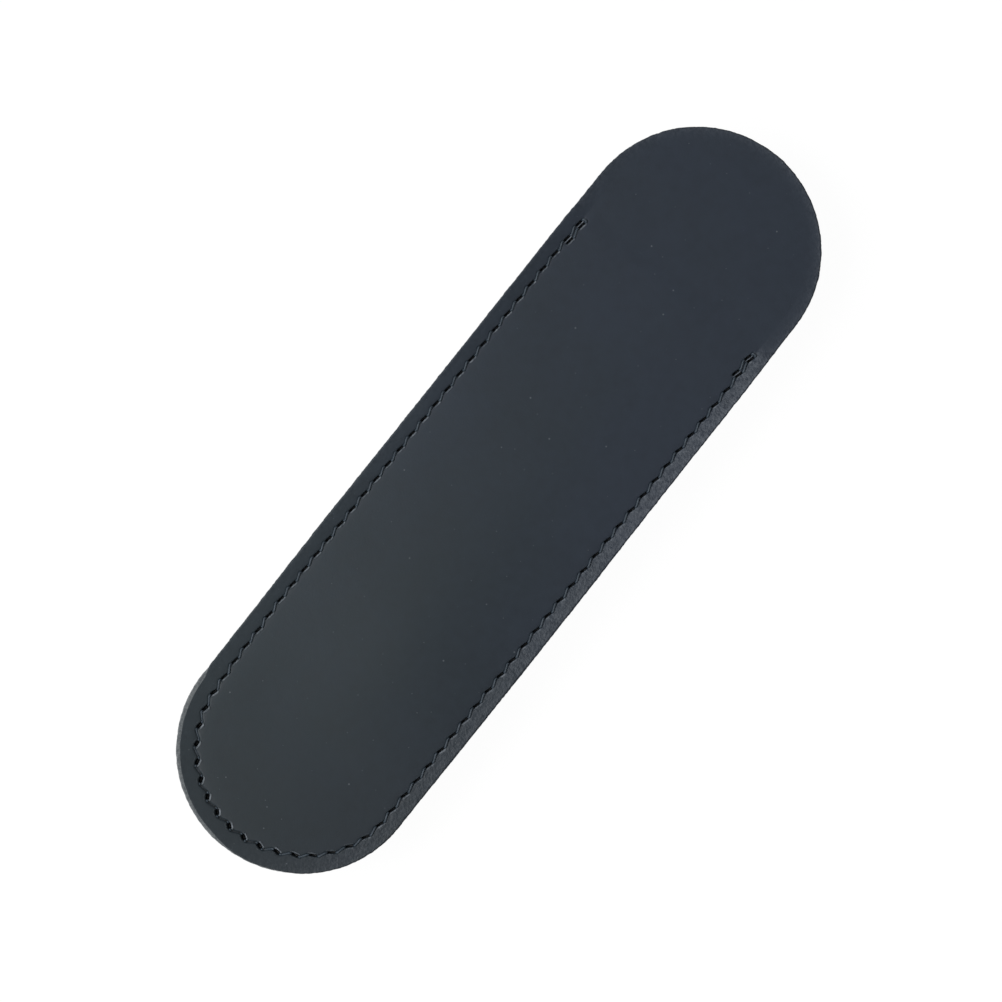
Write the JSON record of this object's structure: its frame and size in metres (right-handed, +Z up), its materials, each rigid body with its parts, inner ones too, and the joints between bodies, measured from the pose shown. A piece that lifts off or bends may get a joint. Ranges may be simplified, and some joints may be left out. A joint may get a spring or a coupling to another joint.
{
  "type": "single pen sleeve",
  "caption": "Slim leather sleeve for one pen: a long back with a round tongue, a shorter front that forms the pocket, and a sewn seam round the bottom.",
  "frame": {"origin": "middle of the bounding box in plan, at the level of the surface that the sleeve lies on", "axes": "+X along the sleeve towards the tongue, +Y across it, +Z up through the back, which faces upwards as in the picture"},
  "size_m": [0.16, 0.045, 0.0118],
  "materials": {
    "back_leather": "smooth matte blue-black leather with raw cut edges",
    "front_leather": "smooth matte blue-black leather with raw cut edges",
    "sewing_thread": "twisted blue-black sewing thread, slightly waxed"
  },
  "bodies": {
    "root": {"back_panel": "back_leather", "front_panel": "front_leather", "needle_thread": "sewing_thread", "bobbin_thread": "sewing_thread"}
  },
  "joints": []
}
